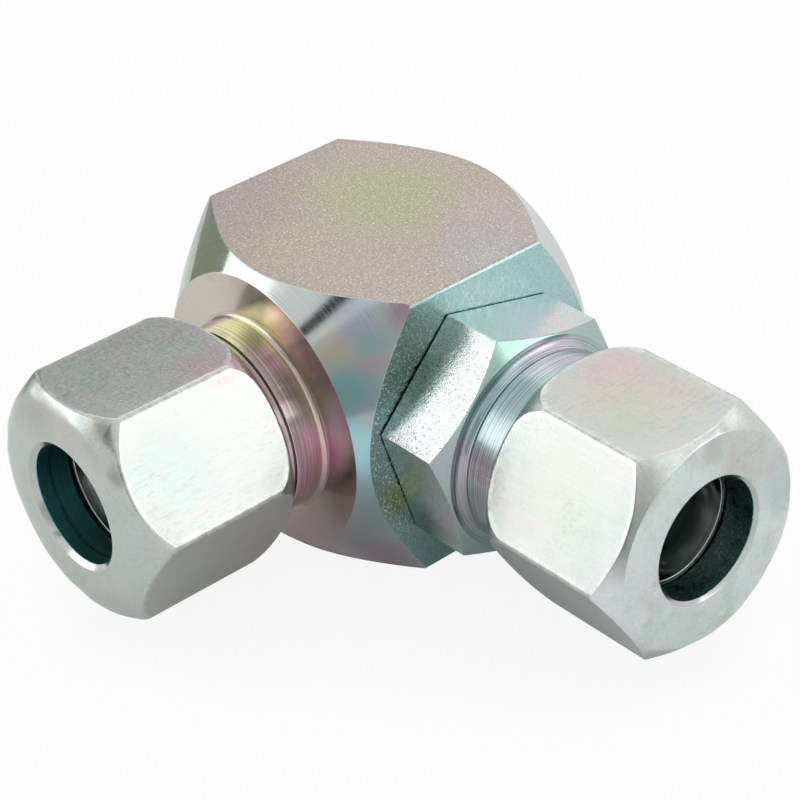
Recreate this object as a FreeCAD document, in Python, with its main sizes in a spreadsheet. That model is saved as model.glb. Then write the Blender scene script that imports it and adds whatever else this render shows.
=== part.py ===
import FreeCAD, Part
import math
import os
import re
import Sketcher

# Swivelling banjo elbow with two 24 degree cone ends for 10 mm tube. Millimetres, +Z up.
# The origin is the middle of the square body's bottom flat, and the two port axes cross above it.
# The fixed port looks along -Y and the swivel port along +X.

SIZES = {
    # Square bar body, turned to a cone at both ends
    "bar_width": 26.0,
    "bar_edge_break": 0.3,
    "front_reach": 12.7,
    "rear_reach": 13.0,
    "front_ring_diameter": 24.4,
    "rear_face_diameter": 25.0,
    "end_cone_angle": 45.0,
    # Stub of each port, from its shoulder face outwards
    "root_fillet": 0.85,
    "neck_step": 0.1,
    "neck_rise": 0.4,
    "neck_length": 3.0,
    "thread_diameter": 16.0,
    "thread_chamfer": 0.8,
    "tube_diameter": 10.0,
    "socket_gap": 0.05,
    "cone_rise": 1.15,
    "cone_half_angle": 12.0,
    "tube_stop_depth": 7.0,
    "pass_bore": 8.0,
    # Union nut
    "nut_flats": 19.0,
    "nut_length": 15.5,
    "nut_standoff": 0.9,
    "nut_overhang": 8.4,
    "nut_face_inset": 0.6,
    "nut_chamfer_angle": 45.0,
    "nut_crown_radius": 3.25,
    "nut_crown_margin": 0.1,
    "nut_bore_gap": 0.1,
    "nut_bore_chamfer": 0.5,
    "nut_bore_land": 3.4,
    "nut_recess_gap": 0.25,
    "nut_recess_length": 1.2,
    "nut_thread_gap": 0.05,
    "nut_mouth_chamfer": 0.4,
    "left_nut_turn": 1.4,
    "right_nut_turn": 2.1,
    # Cutting ring
    "ring_bore_gap": 0.075,
    "ring_length": 7.9,
    "ring_collar_rise": 0.5,
    "ring_collar_standoff": 0.6,
    "ring_end_rise": 0.4,
    "ring_seat_gap": 0.1,
    "ring_cone_gap": 0.03,
    "ring_edge_land": 0.5,
    "ring_edge_pitch": 1.6,
    "ring_edge_relief": 0.15,
    # Swivel stem's hex collar
    "collar_flats": 19.0,
    "collar_length": 6.65,
    "collar_gap": 0.15,
    "collar_face_inset": 0.12,
    "collar_chamfer_angle": 30.0,
    "collar_turn": 46.1,
    # Swivel bore and the shank in it
    "swivel_bore": 13.0,
    "swivel_gap": 0.03,
    "bore_end_wall": 3.5,
    "tail_gap": 0.5,
    "tail_chamfer": 0.5,
    "gallery_depth": 1.2,
    "gallery_margin": 0.2,
    "gallery_land": 0.5,
    "cross_hole": 5.0,
    # Ball race
    "ball_diameter": 2.5,
    "ball_spacing": 0.1,
    "race_gap": 0.03,
    "load_hole_gap": 0.05,
    "plug_end_gap": 0.1,
    "plug_wall_share": 0.5,
    # Set screw behind the race plug
    "screw_diameter": 4.0,
    "screw_recess": 0.4,
    "screw_gap": 0.02,
    "screw_chamfer": 0.4,
    "key_flats": 2.0,
    "key_floor": 1.0,
    # Rings on the shank and at the mouth of the bore
    "seal_land": 0.4,
    "seal_section": 1.2,
    "seal_play": 0.15,
    "backup_length": 0.6,
    "guide_length": 1.7,
    "guide_thickness": 0.8,
    "guide_play": 0.1,
    "tail_land": 1.1,
    "ring_root_gap": 0.02,
    "ring_split": 0.4,
    "wiper_width": 1.4,
    "wiper_length": 1.1,
    "wiper_recess": 0.1,
    "wiper_gap": 0.05,
    "wiper_bevel": 0.6,
}

# Places and radii that follow from the sizes
AXIS_HEIGHT = "(bar_width / 2)"
BAR_CORNER = "(bar_width / sqrt(2))"
THREAD_RADIUS = "(thread_diameter / 2)"
NECK_RADIUS = "(thread_diameter / 2 + neck_rise)"
STUB_LENGTH = "(neck_length + nut_standoff + nut_length - nut_overhang)"
NUT_REAR = "(neck_length + nut_standoff)"
NUT_CORNER = "(nut_flats / sqrt(3))"
NUT_THREAD_RADIUS = "(thread_diameter / 2 + nut_thread_gap)"
NUT_BORE_RADIUS = "(tube_diameter / 2 + nut_bore_gap)"
SOCKET_RADIUS = "(tube_diameter / 2 + socket_gap)"
MOUTH_RADIUS = "(tube_diameter / 2 + cone_rise)"
RING_BORE_RADIUS = "(tube_diameter / 2 + ring_bore_gap)"
RING_COLLAR_RADIUS = f"({MOUTH_RADIUS} + ring_collar_rise)"
RING_END_RADIUS = f"({NUT_BORE_RADIUS} + ring_end_rise)"
NUT_RECESS_RADIUS = f"({RING_COLLAR_RADIUS} + nut_recess_gap)"
RING_REAR = f"({NUT_REAR} + nut_length - nut_bore_land - ring_end_rise - ring_seat_gap)"
RING_TIP = f"({RING_REAR} - ring_length)"
COLLAR_REAR = "(bar_width / 2 + collar_gap)"
COLLAR_FRONT = "(bar_width / 2 + collar_gap + collar_length)"
COLLAR_CORNER = "(collar_flats / sqrt(3))"
BORE_RADIUS = "(swivel_bore / 2)"
SHANK_RADIUS = "(swivel_bore / 2 - swivel_gap)"
BORE_END = "(bore_end_wall - bar_width / 2)"
SHANK_END = "(bore_end_wall - bar_width / 2 + tail_gap)"
RACE_RADIUS = "(ball_diameter / 2 + race_gap)"
WIPER_SEAT = "(bar_width / 2 - wiper_recess - wiper_length)"
WIPER_RADIUS = f"({BORE_RADIUS} + wiper_width)"
GALLERY_RADIUS = f"({SHANK_RADIUS} - gallery_depth)"
GALLERY_END = "(pass_bore / 2 + gallery_margin)"
SEAL_REAR = f"({GALLERY_END} + gallery_land)"
SEAL_FRONT = f"({SEAL_REAR} + seal_section + backup_length + seal_play)"
SEAL_ROOT = f"({SHANK_RADIUS} - seal_section - ring_root_gap)"
BALL_ROW = f"({SEAL_FRONT} + seal_land + {RACE_RADIUS})"
GUIDE_REAR = f"({SHANK_END} + tail_land)"
GUIDE_FRONT = f"({GUIDE_REAR} + guide_length + guide_play)"
GUIDE_ROOT = f"({SHANK_RADIUS} - guide_thickness - ring_root_gap)"
PLUG_SEAT = f"({BORE_RADIUS} + (bar_width / 2 - {BORE_RADIUS}) * plug_wall_share)"
SCREW_LENGTH = f"({AXIS_HEIGHT} - screw_recess - {PLUG_SEAT})"

# Room by which a cut runs past the solid that it cuts
PAST = 1.0

# Directions of the ports: the piece's own Z axis is turned outwards along the port
TOWARDS_LEFT_PORT = FreeCAD.Rotation(FreeCAD.Vector(1, 0, 0), 90)
TOWARDS_SWIVEL_PORT = FreeCAD.Rotation(FreeCAD.Vector(1, 1, 1), 120)
UPRIGHT = FreeCAD.Rotation()

document = FreeCAD.newDocument("banjo_elbow")
sheet = document.addObject("Spreadsheet::Sheet", "Sizes")
for row, (alias, value) in enumerate(SIZES.items(), start=1):
    sheet.set(f"A{row}", alias)
    sheet.set(f"B{row}", str(value))
    sheet.setAlias(f"B{row}", alias)
document.recompute()


def in_sheet(text):
    """The formula with every size's name written as its cell in the sheet."""
    return re.sub(r"[a-z][a-z_]+", lambda word: f"Sizes.{word[0]}" if word[0] in SIZES else word[0], text)


def worth(text):
    """The number that a formula gives with the sheet as it stands."""
    return float(sheet.evalExpression(in_sheet(text)))


def place(piece, turn, along_x="0", along_y="0", along_z="0"):
    """Turn a piece and bind where its own origin lies."""
    piece.Placement = FreeCAD.Placement(FreeCAD.Vector(), turn)
    for axis, formula in (("x", along_x), ("y", along_y), ("z", along_z)):
        piece.setExpression(f"Placement.Base.{axis}", in_sheet(formula))


def new_body(label):
    body = document.addObject("PartDesign::Body", label)
    body.Label = label
    return body


def new_sketch(body, name, plane_role, lift="0"):
    """An empty sketch on one of the body's own planes, lifted off it by a formula."""
    sketch = body.newObject("Sketcher::SketchObject", f"{body.Name}_{name}")
    plane = [feature for feature in body.Origin.OriginFeatures if feature.Role == plane_role][0]
    sketch.AttachmentSupport = [(plane, "")]
    sketch.MapMode = "FlatFace"
    sketch.setExpression("AttachmentOffset.Base.z", in_sheet(lift))
    return sketch


def bind(sketch, kind, *where):
    """Add a constraint whose value, the last item, is a formula."""
    formula = in_sheet(where[-1])
    index = sketch.addConstraint(Sketcher.Constraint(kind, *where[:-1], worth(where[-1])))
    sketch.setExpression(f"Constraints[{index}]", formula)


def arc_through(start, end, radius):
    """The short arc from start to end. A positive radius turns to the left, a negative one to the right."""
    chord = end - start
    left = FreeCAD.Vector(-chord.y, chord.x, 0).normalize()
    rise = math.sqrt(max(radius ** 2 - (chord.Length / 2) ** 2, 0.0))
    side = math.copysign(1.0, radius)
    centre = (start + end) / 2 + left * side * rise
    middle = centre - left * radius
    return Part.Arc(start, middle, end)


def outline(body, name, plane_role, corners, lift="0"):
    """A closed outline. Each corner is (across, along); a third item is the radius of the arc that
    leaves it."""
    sketch = new_sketch(body, name, plane_role, lift)
    points = [FreeCAD.Vector(worth(corner[0]), worth(corner[1]), 0) for corner in corners]
    starts = []
    ends = []
    for index, corner in enumerate(corners):
        start = points[index]
        end = points[(index + 1) % len(points)]
        if len(corner) == 2:
            sketch.addGeometry(Part.LineSegment(start, end))
        else:
            sketch.addGeometry(arc_through(start, end, worth(corner[2])))
        turns_right = len(corner) == 3 and worth(corner[2]) < 0
        starts.append(2 if turns_right else 1)
        ends.append(1 if turns_right else 2)
    for index in range(len(corners)):
        after = (index + 1) % len(corners)
        sketch.addConstraint(Sketcher.Constraint("Coincident", index, ends[index], after, starts[after]))
    for index, corner in enumerate(corners):
        bind(sketch, "DistanceX", -1, 1, index, starts[index], corner[0])
        bind(sketch, "DistanceY", -1, 1, index, starts[index], corner[1])
        if len(corner) == 3:
            bind(sketch, "Radius", index, f"abs({corner[2]})")
    return sketch


def round_outline(body, name, plane_role, across, along, radius, lift="0"):
    sketch = new_sketch(body, name, plane_role, lift)
    centre = FreeCAD.Vector(worth(across), worth(along), 0)
    sketch.addGeometry(Part.Circle(centre, FreeCAD.Vector(0, 0, 1), worth(radius)))
    bind(sketch, "DistanceX", -1, 1, 0, 3, across)
    bind(sketch, "DistanceY", -1, 1, 0, 3, along)
    bind(sketch, "Radius", 0, radius)
    return sketch


def hexagon(body, name, flats, turn, lift="0"):
    """A hexagon in the body's XY plane, one corner turned from its X axis."""
    corners = []
    for side in range(6):
        angle = f"({turn} + {60 * side})"
        corners.append((f"{flats} / sqrt(3) * cos({angle})", f"{flats} / sqrt(3) * sin({angle})"))
    return outline(body, name, "XY_Plane", corners, lift)


def turned(body, kind, sketch, axis="V_Axis"):
    """A Revolution or a Groove of the sketch, all the way round one of its own axes."""
    feature = body.newObject(f"PartDesign::{kind}", f"{sketch.Name}_{kind}")
    feature.Profile = sketch
    feature.ReferenceAxis = (sketch, [axis])
    feature.Angle = 360
    return feature


def straight(body, kind, sketch, length, reverse=False, back=None):
    """A Pad or a Pocket of the sketch; with back, it also reaches that far the other way."""
    feature = body.newObject(f"PartDesign::{kind}", f"{sketch.Name}_{kind}")
    feature.Profile = sketch
    feature.Reversed = reverse
    feature.setExpression("Length", in_sheet(length))
    if back is not None:
        feature.SideType = "Two sides"
        feature.setExpression("Length2", in_sheet(back))
    return feature


def ring_body(label, corners):
    """A ring turned about the piece's own Z axis from its half section."""
    body = new_body(label)
    turned(body, "Revolution", outline(body, "section", "XZ_Plane", corners))
    return body


def split_ring(body, far_side):
    """A narrow gap through one side of a ring, so that it can be sprung over the shank."""
    corners = [("0", "-ring_split / 2"), (far_side, "-ring_split / 2"),
               (far_side, "ring_split / 2"), ("0", "ring_split / 2")]
    sketch = outline(body, "gap", "XY_Plane", corners)
    straight(body, "Pocket", sketch, far_side, back=far_side)


def stub_section(face, side):
    """Half section of a stub's outside: (radius, place) with side 1 or -1 for the way it points."""
    steps = [("0", "-1"),
             (f"{NECK_RADIUS} - neck_step + root_fillet", "-1"),
             (f"{NECK_RADIUS} - neck_step + root_fillet", "0", f"{-side} * root_fillet"),
             (f"{NECK_RADIUS} - neck_step", "root_fillet"),
             (NECK_RADIUS, "root_fillet + neck_step"),
             (NECK_RADIUS, "neck_length"),
             (THREAD_RADIUS, "neck_length"),
             (THREAD_RADIUS, f"{STUB_LENGTH} - thread_chamfer"),
             (f"{THREAD_RADIUS} - thread_chamfer", STUB_LENGTH),
             ("0", STUB_LENGTH)]
    return [(step[0], f"{side} * ({face} + {step[1]})", *step[2:]) for step in steps]


def port_section(face, side, inner_end):
    """Half section of a port's inside: 24 degree cone, tube socket with its stop, and pass bore."""
    end = f"({face} + {STUB_LENGTH})"
    steps = [("0", f"{end} + {PAST}"),
             (f"{MOUTH_RADIUS} + {PAST} * tan(cone_half_angle)", f"{end} + {PAST}"),
             (SOCKET_RADIUS, f"{end} - (cone_rise - socket_gap) / tan(cone_half_angle)"),
             (SOCKET_RADIUS, f"{end} - tube_stop_depth"),
             ("pass_bore / 2", f"{end} - tube_stop_depth"),
             ("pass_bore / 2", inner_end),
             ("0", inner_end)]
    return [(radius, f"{side} * ({along})") for radius, along in steps]


def make_elbow_body():
    """Square bar with both ends turned to a cone, the fixed port, and the bore for the swivel."""
    body = new_body("elbow_body")
    half = "bar_width / 2"
    inset = "(bar_width / 2 - bar_edge_break)"
    section = [(half, f"-{inset}"), (half, inset), (inset, half), (f"-{inset}", half),
               (f"-{half}", inset), (f"-{half}", f"-{inset}"), (f"-{inset}", f"-{half}"), (inset, f"-{half}")]
    bar = outline(body, "bar", "XZ_Plane", section)
    straight(body, "Pad", bar, "front_reach", back="rear_reach")

    for name, side, reach, diameter in (("front_cone", "-1", "front_reach", "front_ring_diameter"),
                                        ("rear_cone", "1", "rear_reach", "rear_face_diameter")):
        outside = f"({BAR_CORNER} + {PAST})"
        slope = f"({outside} - {diameter} / 2) * tan(end_cone_angle)"
        corners = [(f"{diameter} / 2", f"{side} * {reach}"),
                   (outside, f"{side} * ({reach} - {slope})"),
                   (outside, f"{side} * ({reach} + {PAST})"),
                   (f"{diameter} / 2", f"{side} * ({reach} + {PAST})")]
        turned(body, "Groove", outline(body, name, "XY_Plane", corners))

    turned(body, "Revolution", outline(body, "stub", "XY_Plane", stub_section("front_reach", -1)))
    turned(body, "Groove", outline(body, "port", "XY_Plane", port_section("front_reach", -1, "0")))

    bore = [(BORE_END, "0"), (BORE_END, BORE_RADIUS), (WIPER_SEAT, BORE_RADIUS),
            (WIPER_SEAT, WIPER_RADIUS), (f"{half} + {PAST}", WIPER_RADIUS), (f"{half} + {PAST}", "0")]
    turned(body, "Groove", outline(body, "swivel_bore", "XY_Plane", bore), "H_Axis")
    race = round_outline(body, "race", "XY_Plane", BALL_ROW, BORE_RADIUS, RACE_RADIUS)
    turned(body, "Groove", race, "H_Axis")

    load_hole = round_outline(body, "load_hole", "XY_Plane", BALL_ROW, "0", "ball_diameter / 2 + load_hole_gap")
    straight(body, "Pocket", load_hole, f"{half} + {PAST}")
    screw_hole = round_outline(body, "screw_hole", "XY_Plane", BALL_ROW, "0",
                               "screw_diameter / 2 + screw_gap", lift=f"-{PLUG_SEAT}")
    straight(body, "Pocket", screw_hole, f"{half} - {PLUG_SEAT} + {PAST}")
    place(body, UPRIGHT, along_z=AXIS_HEIGHT)
    return body


def make_swivel_stem():
    """Hex collar with the second stub in front and the shank behind, turned from one bar."""
    body = new_body("swivel_stem")
    collar = hexagon(body, "collar", "collar_flats", "collar_turn", lift=COLLAR_REAR)
    straight(body, "Pad", collar, "collar_length")
    face = "(collar_flats / 2 - collar_face_inset)"
    outside = f"({COLLAR_CORNER} + {PAST})"
    slope = f"({outside} - {face}) * tan(collar_chamfer_angle)"
    corners = [(face, COLLAR_FRONT), (outside, f"{COLLAR_FRONT} - {slope}"),
               (outside, f"{COLLAR_FRONT} + {PAST}"), (face, f"{COLLAR_FRONT} + {PAST}")]
    turned(body, "Groove", outline(body, "collar_chamfer", "XZ_Plane", corners))
    turned(body, "Revolution", outline(body, "stub", "XZ_Plane", stub_section(COLLAR_FRONT, 1)))

    shank = [("0", f"{COLLAR_REAR} + {PAST}"), (SHANK_RADIUS, f"{COLLAR_REAR} + {PAST}"),
             (SHANK_RADIUS, SEAL_FRONT), (SEAL_ROOT, SEAL_FRONT), (SEAL_ROOT, SEAL_REAR),
             (SHANK_RADIUS, SEAL_REAR), (SHANK_RADIUS, GALLERY_END), (GALLERY_RADIUS, GALLERY_END),
             (GALLERY_RADIUS, f"-{GALLERY_END}"), (SHANK_RADIUS, f"-{GALLERY_END}"),
             (SHANK_RADIUS, GUIDE_FRONT), (GUIDE_ROOT, GUIDE_FRONT), (GUIDE_ROOT, GUIDE_REAR),
             (SHANK_RADIUS, GUIDE_REAR), (SHANK_RADIUS, f"{SHANK_END} + tail_chamfer"),
             (f"{SHANK_RADIUS} - tail_chamfer", SHANK_END), ("0", SHANK_END)]
    turned(body, "Revolution", outline(body, "shank", "XZ_Plane", shank))
    race = round_outline(body, "race", "XZ_Plane", BORE_RADIUS, BALL_ROW, RACE_RADIUS)
    turned(body, "Groove", race)
    port = port_section(COLLAR_FRONT, 1, f"-{GALLERY_END}")
    turned(body, "Groove", outline(body, "port", "XZ_Plane", port))

    cross_hole = round_outline(body, "cross_hole", "XZ_Plane", "0", "0", "cross_hole / 2")
    first_hole = straight(body, "Pocket", cross_hole, SHANK_RADIUS, back=SHANK_RADIUS)
    document.recompute()
    pattern = body.newObject("PartDesign::PolarPattern", "cross_holes")
    pattern.Originals = [first_hole]
    pattern.Axis = (cross_hole, ["V_Axis"])
    pattern.Angle = 180
    pattern.Occurrences = 2
    body.Tip = pattern
    place(body, TOWARDS_SWIVEL_PORT, along_z=AXIS_HEIGHT)
    return body


def make_union_nut(label, turn):
    """Hex nut: crowned thread end, chamfered front, tube bore and the 45 degree seat of the ring."""
    body = new_body(label)
    straight(body, "Pad", hexagon(body, "bar", "nut_flats", turn), "nut_length")

    outside = f"({NUT_CORNER} + {PAST})"
    crown_start = f"({NUT_CORNER} + nut_crown_margin - nut_crown_radius)"
    crown = [(crown_start, "0", "nut_crown_radius"),
             (f"{crown_start} + nut_crown_radius", "nut_crown_radius"), (outside, "nut_crown_radius"),
             (outside, f"-{PAST}"), (crown_start, f"-{PAST}")]
    turned(body, "Groove", outline(body, "crown", "XZ_Plane", crown))
    face = "(nut_flats / 2 - nut_face_inset)"
    slope = f"({outside} - {face}) * tan(nut_chamfer_angle)"
    chamfer = [(face, "nut_length"), (outside, f"nut_length - {slope}"),
               (outside, f"nut_length + {PAST}"), (face, f"nut_length + {PAST}")]
    turned(body, "Groove", outline(body, "chamfer", "XZ_Plane", chamfer))

    seat_end = f"(nut_length - nut_bore_land - ({NUT_RECESS_RADIUS} - {NUT_BORE_RADIUS}))"
    inside = [("0", f"-{PAST}"), (f"{NUT_THREAD_RADIUS} + nut_mouth_chamfer + {PAST}", f"-{PAST}"),
              (NUT_THREAD_RADIUS, "nut_mouth_chamfer"),
              (NUT_THREAD_RADIUS, f"{seat_end} - nut_recess_length"),
              (NUT_RECESS_RADIUS, f"{seat_end} - nut_recess_length"),
              (NUT_RECESS_RADIUS, seat_end), (NUT_BORE_RADIUS, "nut_length - nut_bore_land"),
              (NUT_BORE_RADIUS, "nut_length - nut_bore_chamfer"),
              (f"{NUT_BORE_RADIUS} + nut_bore_chamfer + {PAST}", f"nut_length + {PAST}"),
              ("0", f"nut_length + {PAST}")]
    turned(body, "Groove", outline(body, "inside", "XZ_Plane", inside))
    return body


def make_cutting_ring(label):
    """Ring with two cutting edges in front, a nose that follows the cone, and a 45 degree shoulder."""
    bore = RING_BORE_RADIUS
    relief = f"({RING_BORE_RADIUS} + ring_edge_relief)"
    depth_in_cone = f"({STUB_LENGTH} - {RING_TIP})"
    tip = f"({MOUTH_RADIUS} - {depth_in_cone} * tan(cone_half_angle) - ring_cone_gap)"
    nose_end = f"({depth_in_cone} - ring_edge_land)"
    nose = f"({tip} + {nose_end} * tan(cone_half_angle))"
    collar_foot = f"({depth_in_cone} + ring_collar_standoff)"
    collar_start = f"({collar_foot} + {RING_COLLAR_RADIUS} - {nose})"
    shoulder_start = f"(ring_length - ({RING_COLLAR_RADIUS} - {RING_END_RADIUS}))"
    second_edge = "(ring_edge_pitch + ring_edge_land)"
    section = [(bore, "0"), (tip, "0"), (nose, nose_end), (nose, collar_foot),
               (RING_COLLAR_RADIUS, collar_start), (RING_COLLAR_RADIUS, shoulder_start),
               (RING_END_RADIUS, "ring_length"), (bore, "ring_length"),
               (bore, f"{second_edge} + ring_edge_pitch"), (relief, "2 * ring_edge_pitch"),
               (relief, second_edge), (bore, second_edge), (bore, "ring_edge_pitch"),
               (relief, "ring_edge_pitch"), (relief, "ring_edge_land"), (bore, "ring_edge_land")]
    return ring_body(label, section)


def make_bearing_balls():
    """As many balls as the row holds, evenly spread round the swivel axis."""
    pitch_angle = math.degrees(math.asin(worth("(ball_diameter + ball_spacing) / swivel_bore")))
    count = int(180 / pitch_angle)
    balls = []
    for number in range(count):
        ball = document.addObject("Part::Sphere", f"ball_{number + 1}")
        ball.setExpression("Radius", in_sheet("ball_diameter / 2"))
        angle = f"({360 * number} / {count})"
        place(ball, TOWARDS_SWIVEL_PORT, BALL_ROW, f"{BORE_RADIUS} * cos({angle})",
              f"{AXIS_HEIGHT} + {BORE_RADIUS} * sin({angle})")
        balls.append(ball)
    row = document.addObject("Part::Compound", "bearing_balls")
    row.Label = "bearing_balls"
    row.Links = balls
    return row


def make_ball_race_plug():
    """Pin that fills the loading hole; its inner end carries on the race."""
    pin = document.addObject("Part::Cylinder", "plug_pin")
    pin.setExpression("Radius", in_sheet("ball_diameter / 2"))
    pin.setExpression("Height", in_sheet(f"{PLUG_SEAT} - {BORE_RADIUS} - plug_end_gap"))
    place(pin, UPRIGHT, along_x=BALL_ROW, along_z=f"{AXIS_HEIGHT} - {PLUG_SEAT}")
    race = document.addObject("Part::Torus", "plug_race")
    race.setExpression("Radius1", in_sheet(BORE_RADIUS))
    race.setExpression("Radius2", in_sheet(RACE_RADIUS))
    place(race, TOWARDS_SWIVEL_PORT, along_x=BALL_ROW, along_z=AXIS_HEIGHT)
    plug = document.addObject("Part::Cut", "ball_race_plug")
    plug.Label = "ball_race_plug"
    plug.Base = pin
    plug.Tool = race
    return plug


def make_plug_set_screw():
    """Flat point set screw with a hex socket, its socket end just under the bottom flat."""
    radius = "screw_diameter / 2"
    section = [("0", "0"), (f"{radius} - screw_chamfer", "0"), (radius, "screw_chamfer"),
               (radius, f"{SCREW_LENGTH} - screw_chamfer"), (f"{radius} - screw_chamfer", SCREW_LENGTH),
               ("0", SCREW_LENGTH)]
    body = ring_body("plug_set_screw", section)
    key_depth = f"{SCREW_LENGTH} - key_floor"
    straight(body, "Pocket", hexagon(body, "socket", "key_flats", "0"), key_depth, reverse=True)
    place(body, UPRIGHT, along_x=BALL_ROW, along_z="screw_recess")
    return body


def make_stem_seal_ring():
    ring = document.addObject("Part::Torus", "stem_seal_ring")
    ring.Label = "stem_seal_ring"
    ring.setExpression("Radius1", in_sheet(f"{SHANK_RADIUS} - seal_section / 2"))
    ring.setExpression("Radius2", in_sheet("seal_section / 2"))
    place(ring, TOWARDS_SWIVEL_PORT, f"{SEAL_REAR} + seal_play / 2 + seal_section / 2", along_z=AXIS_HEIGHT)
    return ring


def make_stem_backup_ring():
    inner = f"{SHANK_RADIUS} - seal_section"
    section = [(inner, "0"), (SHANK_RADIUS, "0"), (SHANK_RADIUS, "backup_length"), (inner, "backup_length")]
    body = ring_body("stem_backup_ring", section)
    split_ring(body, "swivel_bore")
    place(body, TOWARDS_SWIVEL_PORT, f"{SEAL_FRONT} - backup_length", along_z=AXIS_HEIGHT)
    return body


def make_tail_guide_ring():
    inner = f"{SHANK_RADIUS} - guide_thickness"
    section = [(inner, "0"), (SHANK_RADIUS, "0"), (SHANK_RADIUS, "guide_length"), (inner, "guide_length")]
    body = ring_body("tail_guide_ring", section)
    split_ring(body, "swivel_bore")
    place(body, TOWARDS_SWIVEL_PORT, f"{GUIDE_REAR} + guide_play / 2", along_z=AXIS_HEIGHT)
    return body


def make_dust_wiper():
    """Wiper ring pressed into the mouth of the bore, bevelled to a lip at the shank."""
    inner = f"{SHANK_RADIUS} + wiper_gap"
    section = [(inner, "wiper_bevel"), (f"{inner} + wiper_bevel", "0"), (WIPER_RADIUS, "0"),
               (WIPER_RADIUS, "wiper_length"), (inner, "wiper_length")]
    body = ring_body("dust_wiper", section)
    place(body, TOWARDS_SWIVEL_PORT, WIPER_SEAT, along_z=AXIS_HEIGHT)
    return body


left_nut = make_union_nut("union_nut_left", "left_nut_turn")
place(left_nut, TOWARDS_LEFT_PORT, along_y=f"-(front_reach + {NUT_REAR})", along_z=AXIS_HEIGHT)
right_nut = make_union_nut("union_nut_right", "right_nut_turn")
place(right_nut, TOWARDS_SWIVEL_PORT, f"{COLLAR_FRONT} + {NUT_REAR}", along_z=AXIS_HEIGHT)
left_ring = make_cutting_ring("cutting_ring_left")
place(left_ring, TOWARDS_LEFT_PORT, along_y=f"-(front_reach + {RING_TIP})", along_z=AXIS_HEIGHT)
right_ring = make_cutting_ring("cutting_ring_right")
place(right_ring, TOWARDS_SWIVEL_PORT, f"{COLLAR_FRONT} + {RING_TIP}", along_z=AXIS_HEIGHT)

pieces = [make_elbow_body(), make_swivel_stem(), left_nut, right_nut, left_ring, right_ring,
          make_bearing_balls(), make_ball_race_plug(), make_plug_set_screw(), make_stem_seal_ring(),
          make_stem_backup_ring(), make_tail_guide_ring(), make_dust_wiper()]

document.recompute()
for thing in document.Objects:
    if "Invalid" in thing.State or "Error" in thing.State:
        raise RuntimeError(f"{thing.Label} could not be built: {thing.State}")
for piece in pieces:
    if piece.Shape.isNull() or not piece.Shape.isValid():
        raise RuntimeError(f"{piece.Label} has no sound shape")

os.makedirs("parts", exist_ok=True)
for piece in pieces:
    piece.Shape.exportStep(f"parts/{piece.Label}.step")
    box = piece.Shape.BoundBox
    print(f"{piece.Label}: {len(piece.Shape.Solids)} solids, {piece.Shape.Volume:.1f} mm3,"
          f" x {box.XMin:.2f}..{box.XMax:.2f}, y {box.YMin:.2f}..{box.YMax:.2f}, z {box.ZMin:.2f}..{box.ZMax:.2f}")
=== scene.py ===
import math

import bmesh
import bpy
import numpy as np
from mathutils import Matrix, Vector


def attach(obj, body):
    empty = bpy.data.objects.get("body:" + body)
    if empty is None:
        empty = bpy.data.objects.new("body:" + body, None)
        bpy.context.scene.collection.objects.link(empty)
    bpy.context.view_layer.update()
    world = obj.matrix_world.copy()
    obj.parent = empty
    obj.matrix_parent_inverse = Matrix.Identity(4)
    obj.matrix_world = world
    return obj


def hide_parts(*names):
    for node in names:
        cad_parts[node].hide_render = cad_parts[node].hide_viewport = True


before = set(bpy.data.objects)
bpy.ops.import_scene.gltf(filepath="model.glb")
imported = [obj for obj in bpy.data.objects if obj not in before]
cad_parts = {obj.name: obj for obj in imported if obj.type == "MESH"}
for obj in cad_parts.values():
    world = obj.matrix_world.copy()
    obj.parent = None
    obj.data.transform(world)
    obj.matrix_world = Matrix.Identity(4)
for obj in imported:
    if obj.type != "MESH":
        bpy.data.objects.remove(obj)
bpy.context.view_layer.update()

# Lengths are millimetres here, as in the CAD, and become metres where a mesh is made.
MM = 0.001
AXIS_HEIGHT = 13.0

# Square bar body, measured outwards along the fixed port's axis
BAR_APOTHEM = 13.0
BAR_EDGE = 0.45
BODY_BACK = -13.0
BODY_FRONT = 12.7
BACK_FACE_RADIUS = 12.5
BACK_FACE_ROWS = (0, 4, 8)
FRONT_RING_RADIUS = 12.2

# Stub of each port, measured from its shoulder face
FIXED_ROOT_FILLET = 0.5
SWIVEL_ROOT_FILLET = 0.85
NECK_RADIUS = 8.4
ROOT_STEP = 0.1
ROOT_RADIUS = NECK_RADIUS - ROOT_STEP
FIXED_NECK_END = 3.0
SWIVEL_NECK_END = 3.55
THREAD_START = 3.75
THREAD_RADIUS = 8.0
RELIEF_RADIUS = THREAD_RADIUS + 0.02
CREST_RADIUS = THREAD_RADIUS - 0.02
STUB_END = 11.0
THREAD_CHAMFER = 0.8
PITCH = 1.5
MALE_DEPTH = 0.86
MOUTH_RADIUS = 6.15
SOCKET_START = 5.825
SOCKET_RADIUS = 5.05
SOCKET_STOP = 4.0
PASS_RADIUS = 4.0

# Union nut, measured from its thread end
NUT_APOTHEM = 9.55
NUT_EDGE = 0.5
NUT_LENGTH = 15.5
NUT_REAR = 3.9
NUT_RIM_RADIUS = 9.2
FLAT_FACE_DROP = 0.42
DOME_START = 7.1
DOME_END = 10.0
DOME_CURVE = 0.0395
DOME_SHOULDER = 0.9
DOME_EDGE = 0.3
DOME_EDGE_GROWTH = 0.7
CROWN_CENTRE = 8.3
CROWN_REACH = 2.7
CROWN_ROUNDING = 0.4
CROWN_FIRST = 0.06
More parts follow.
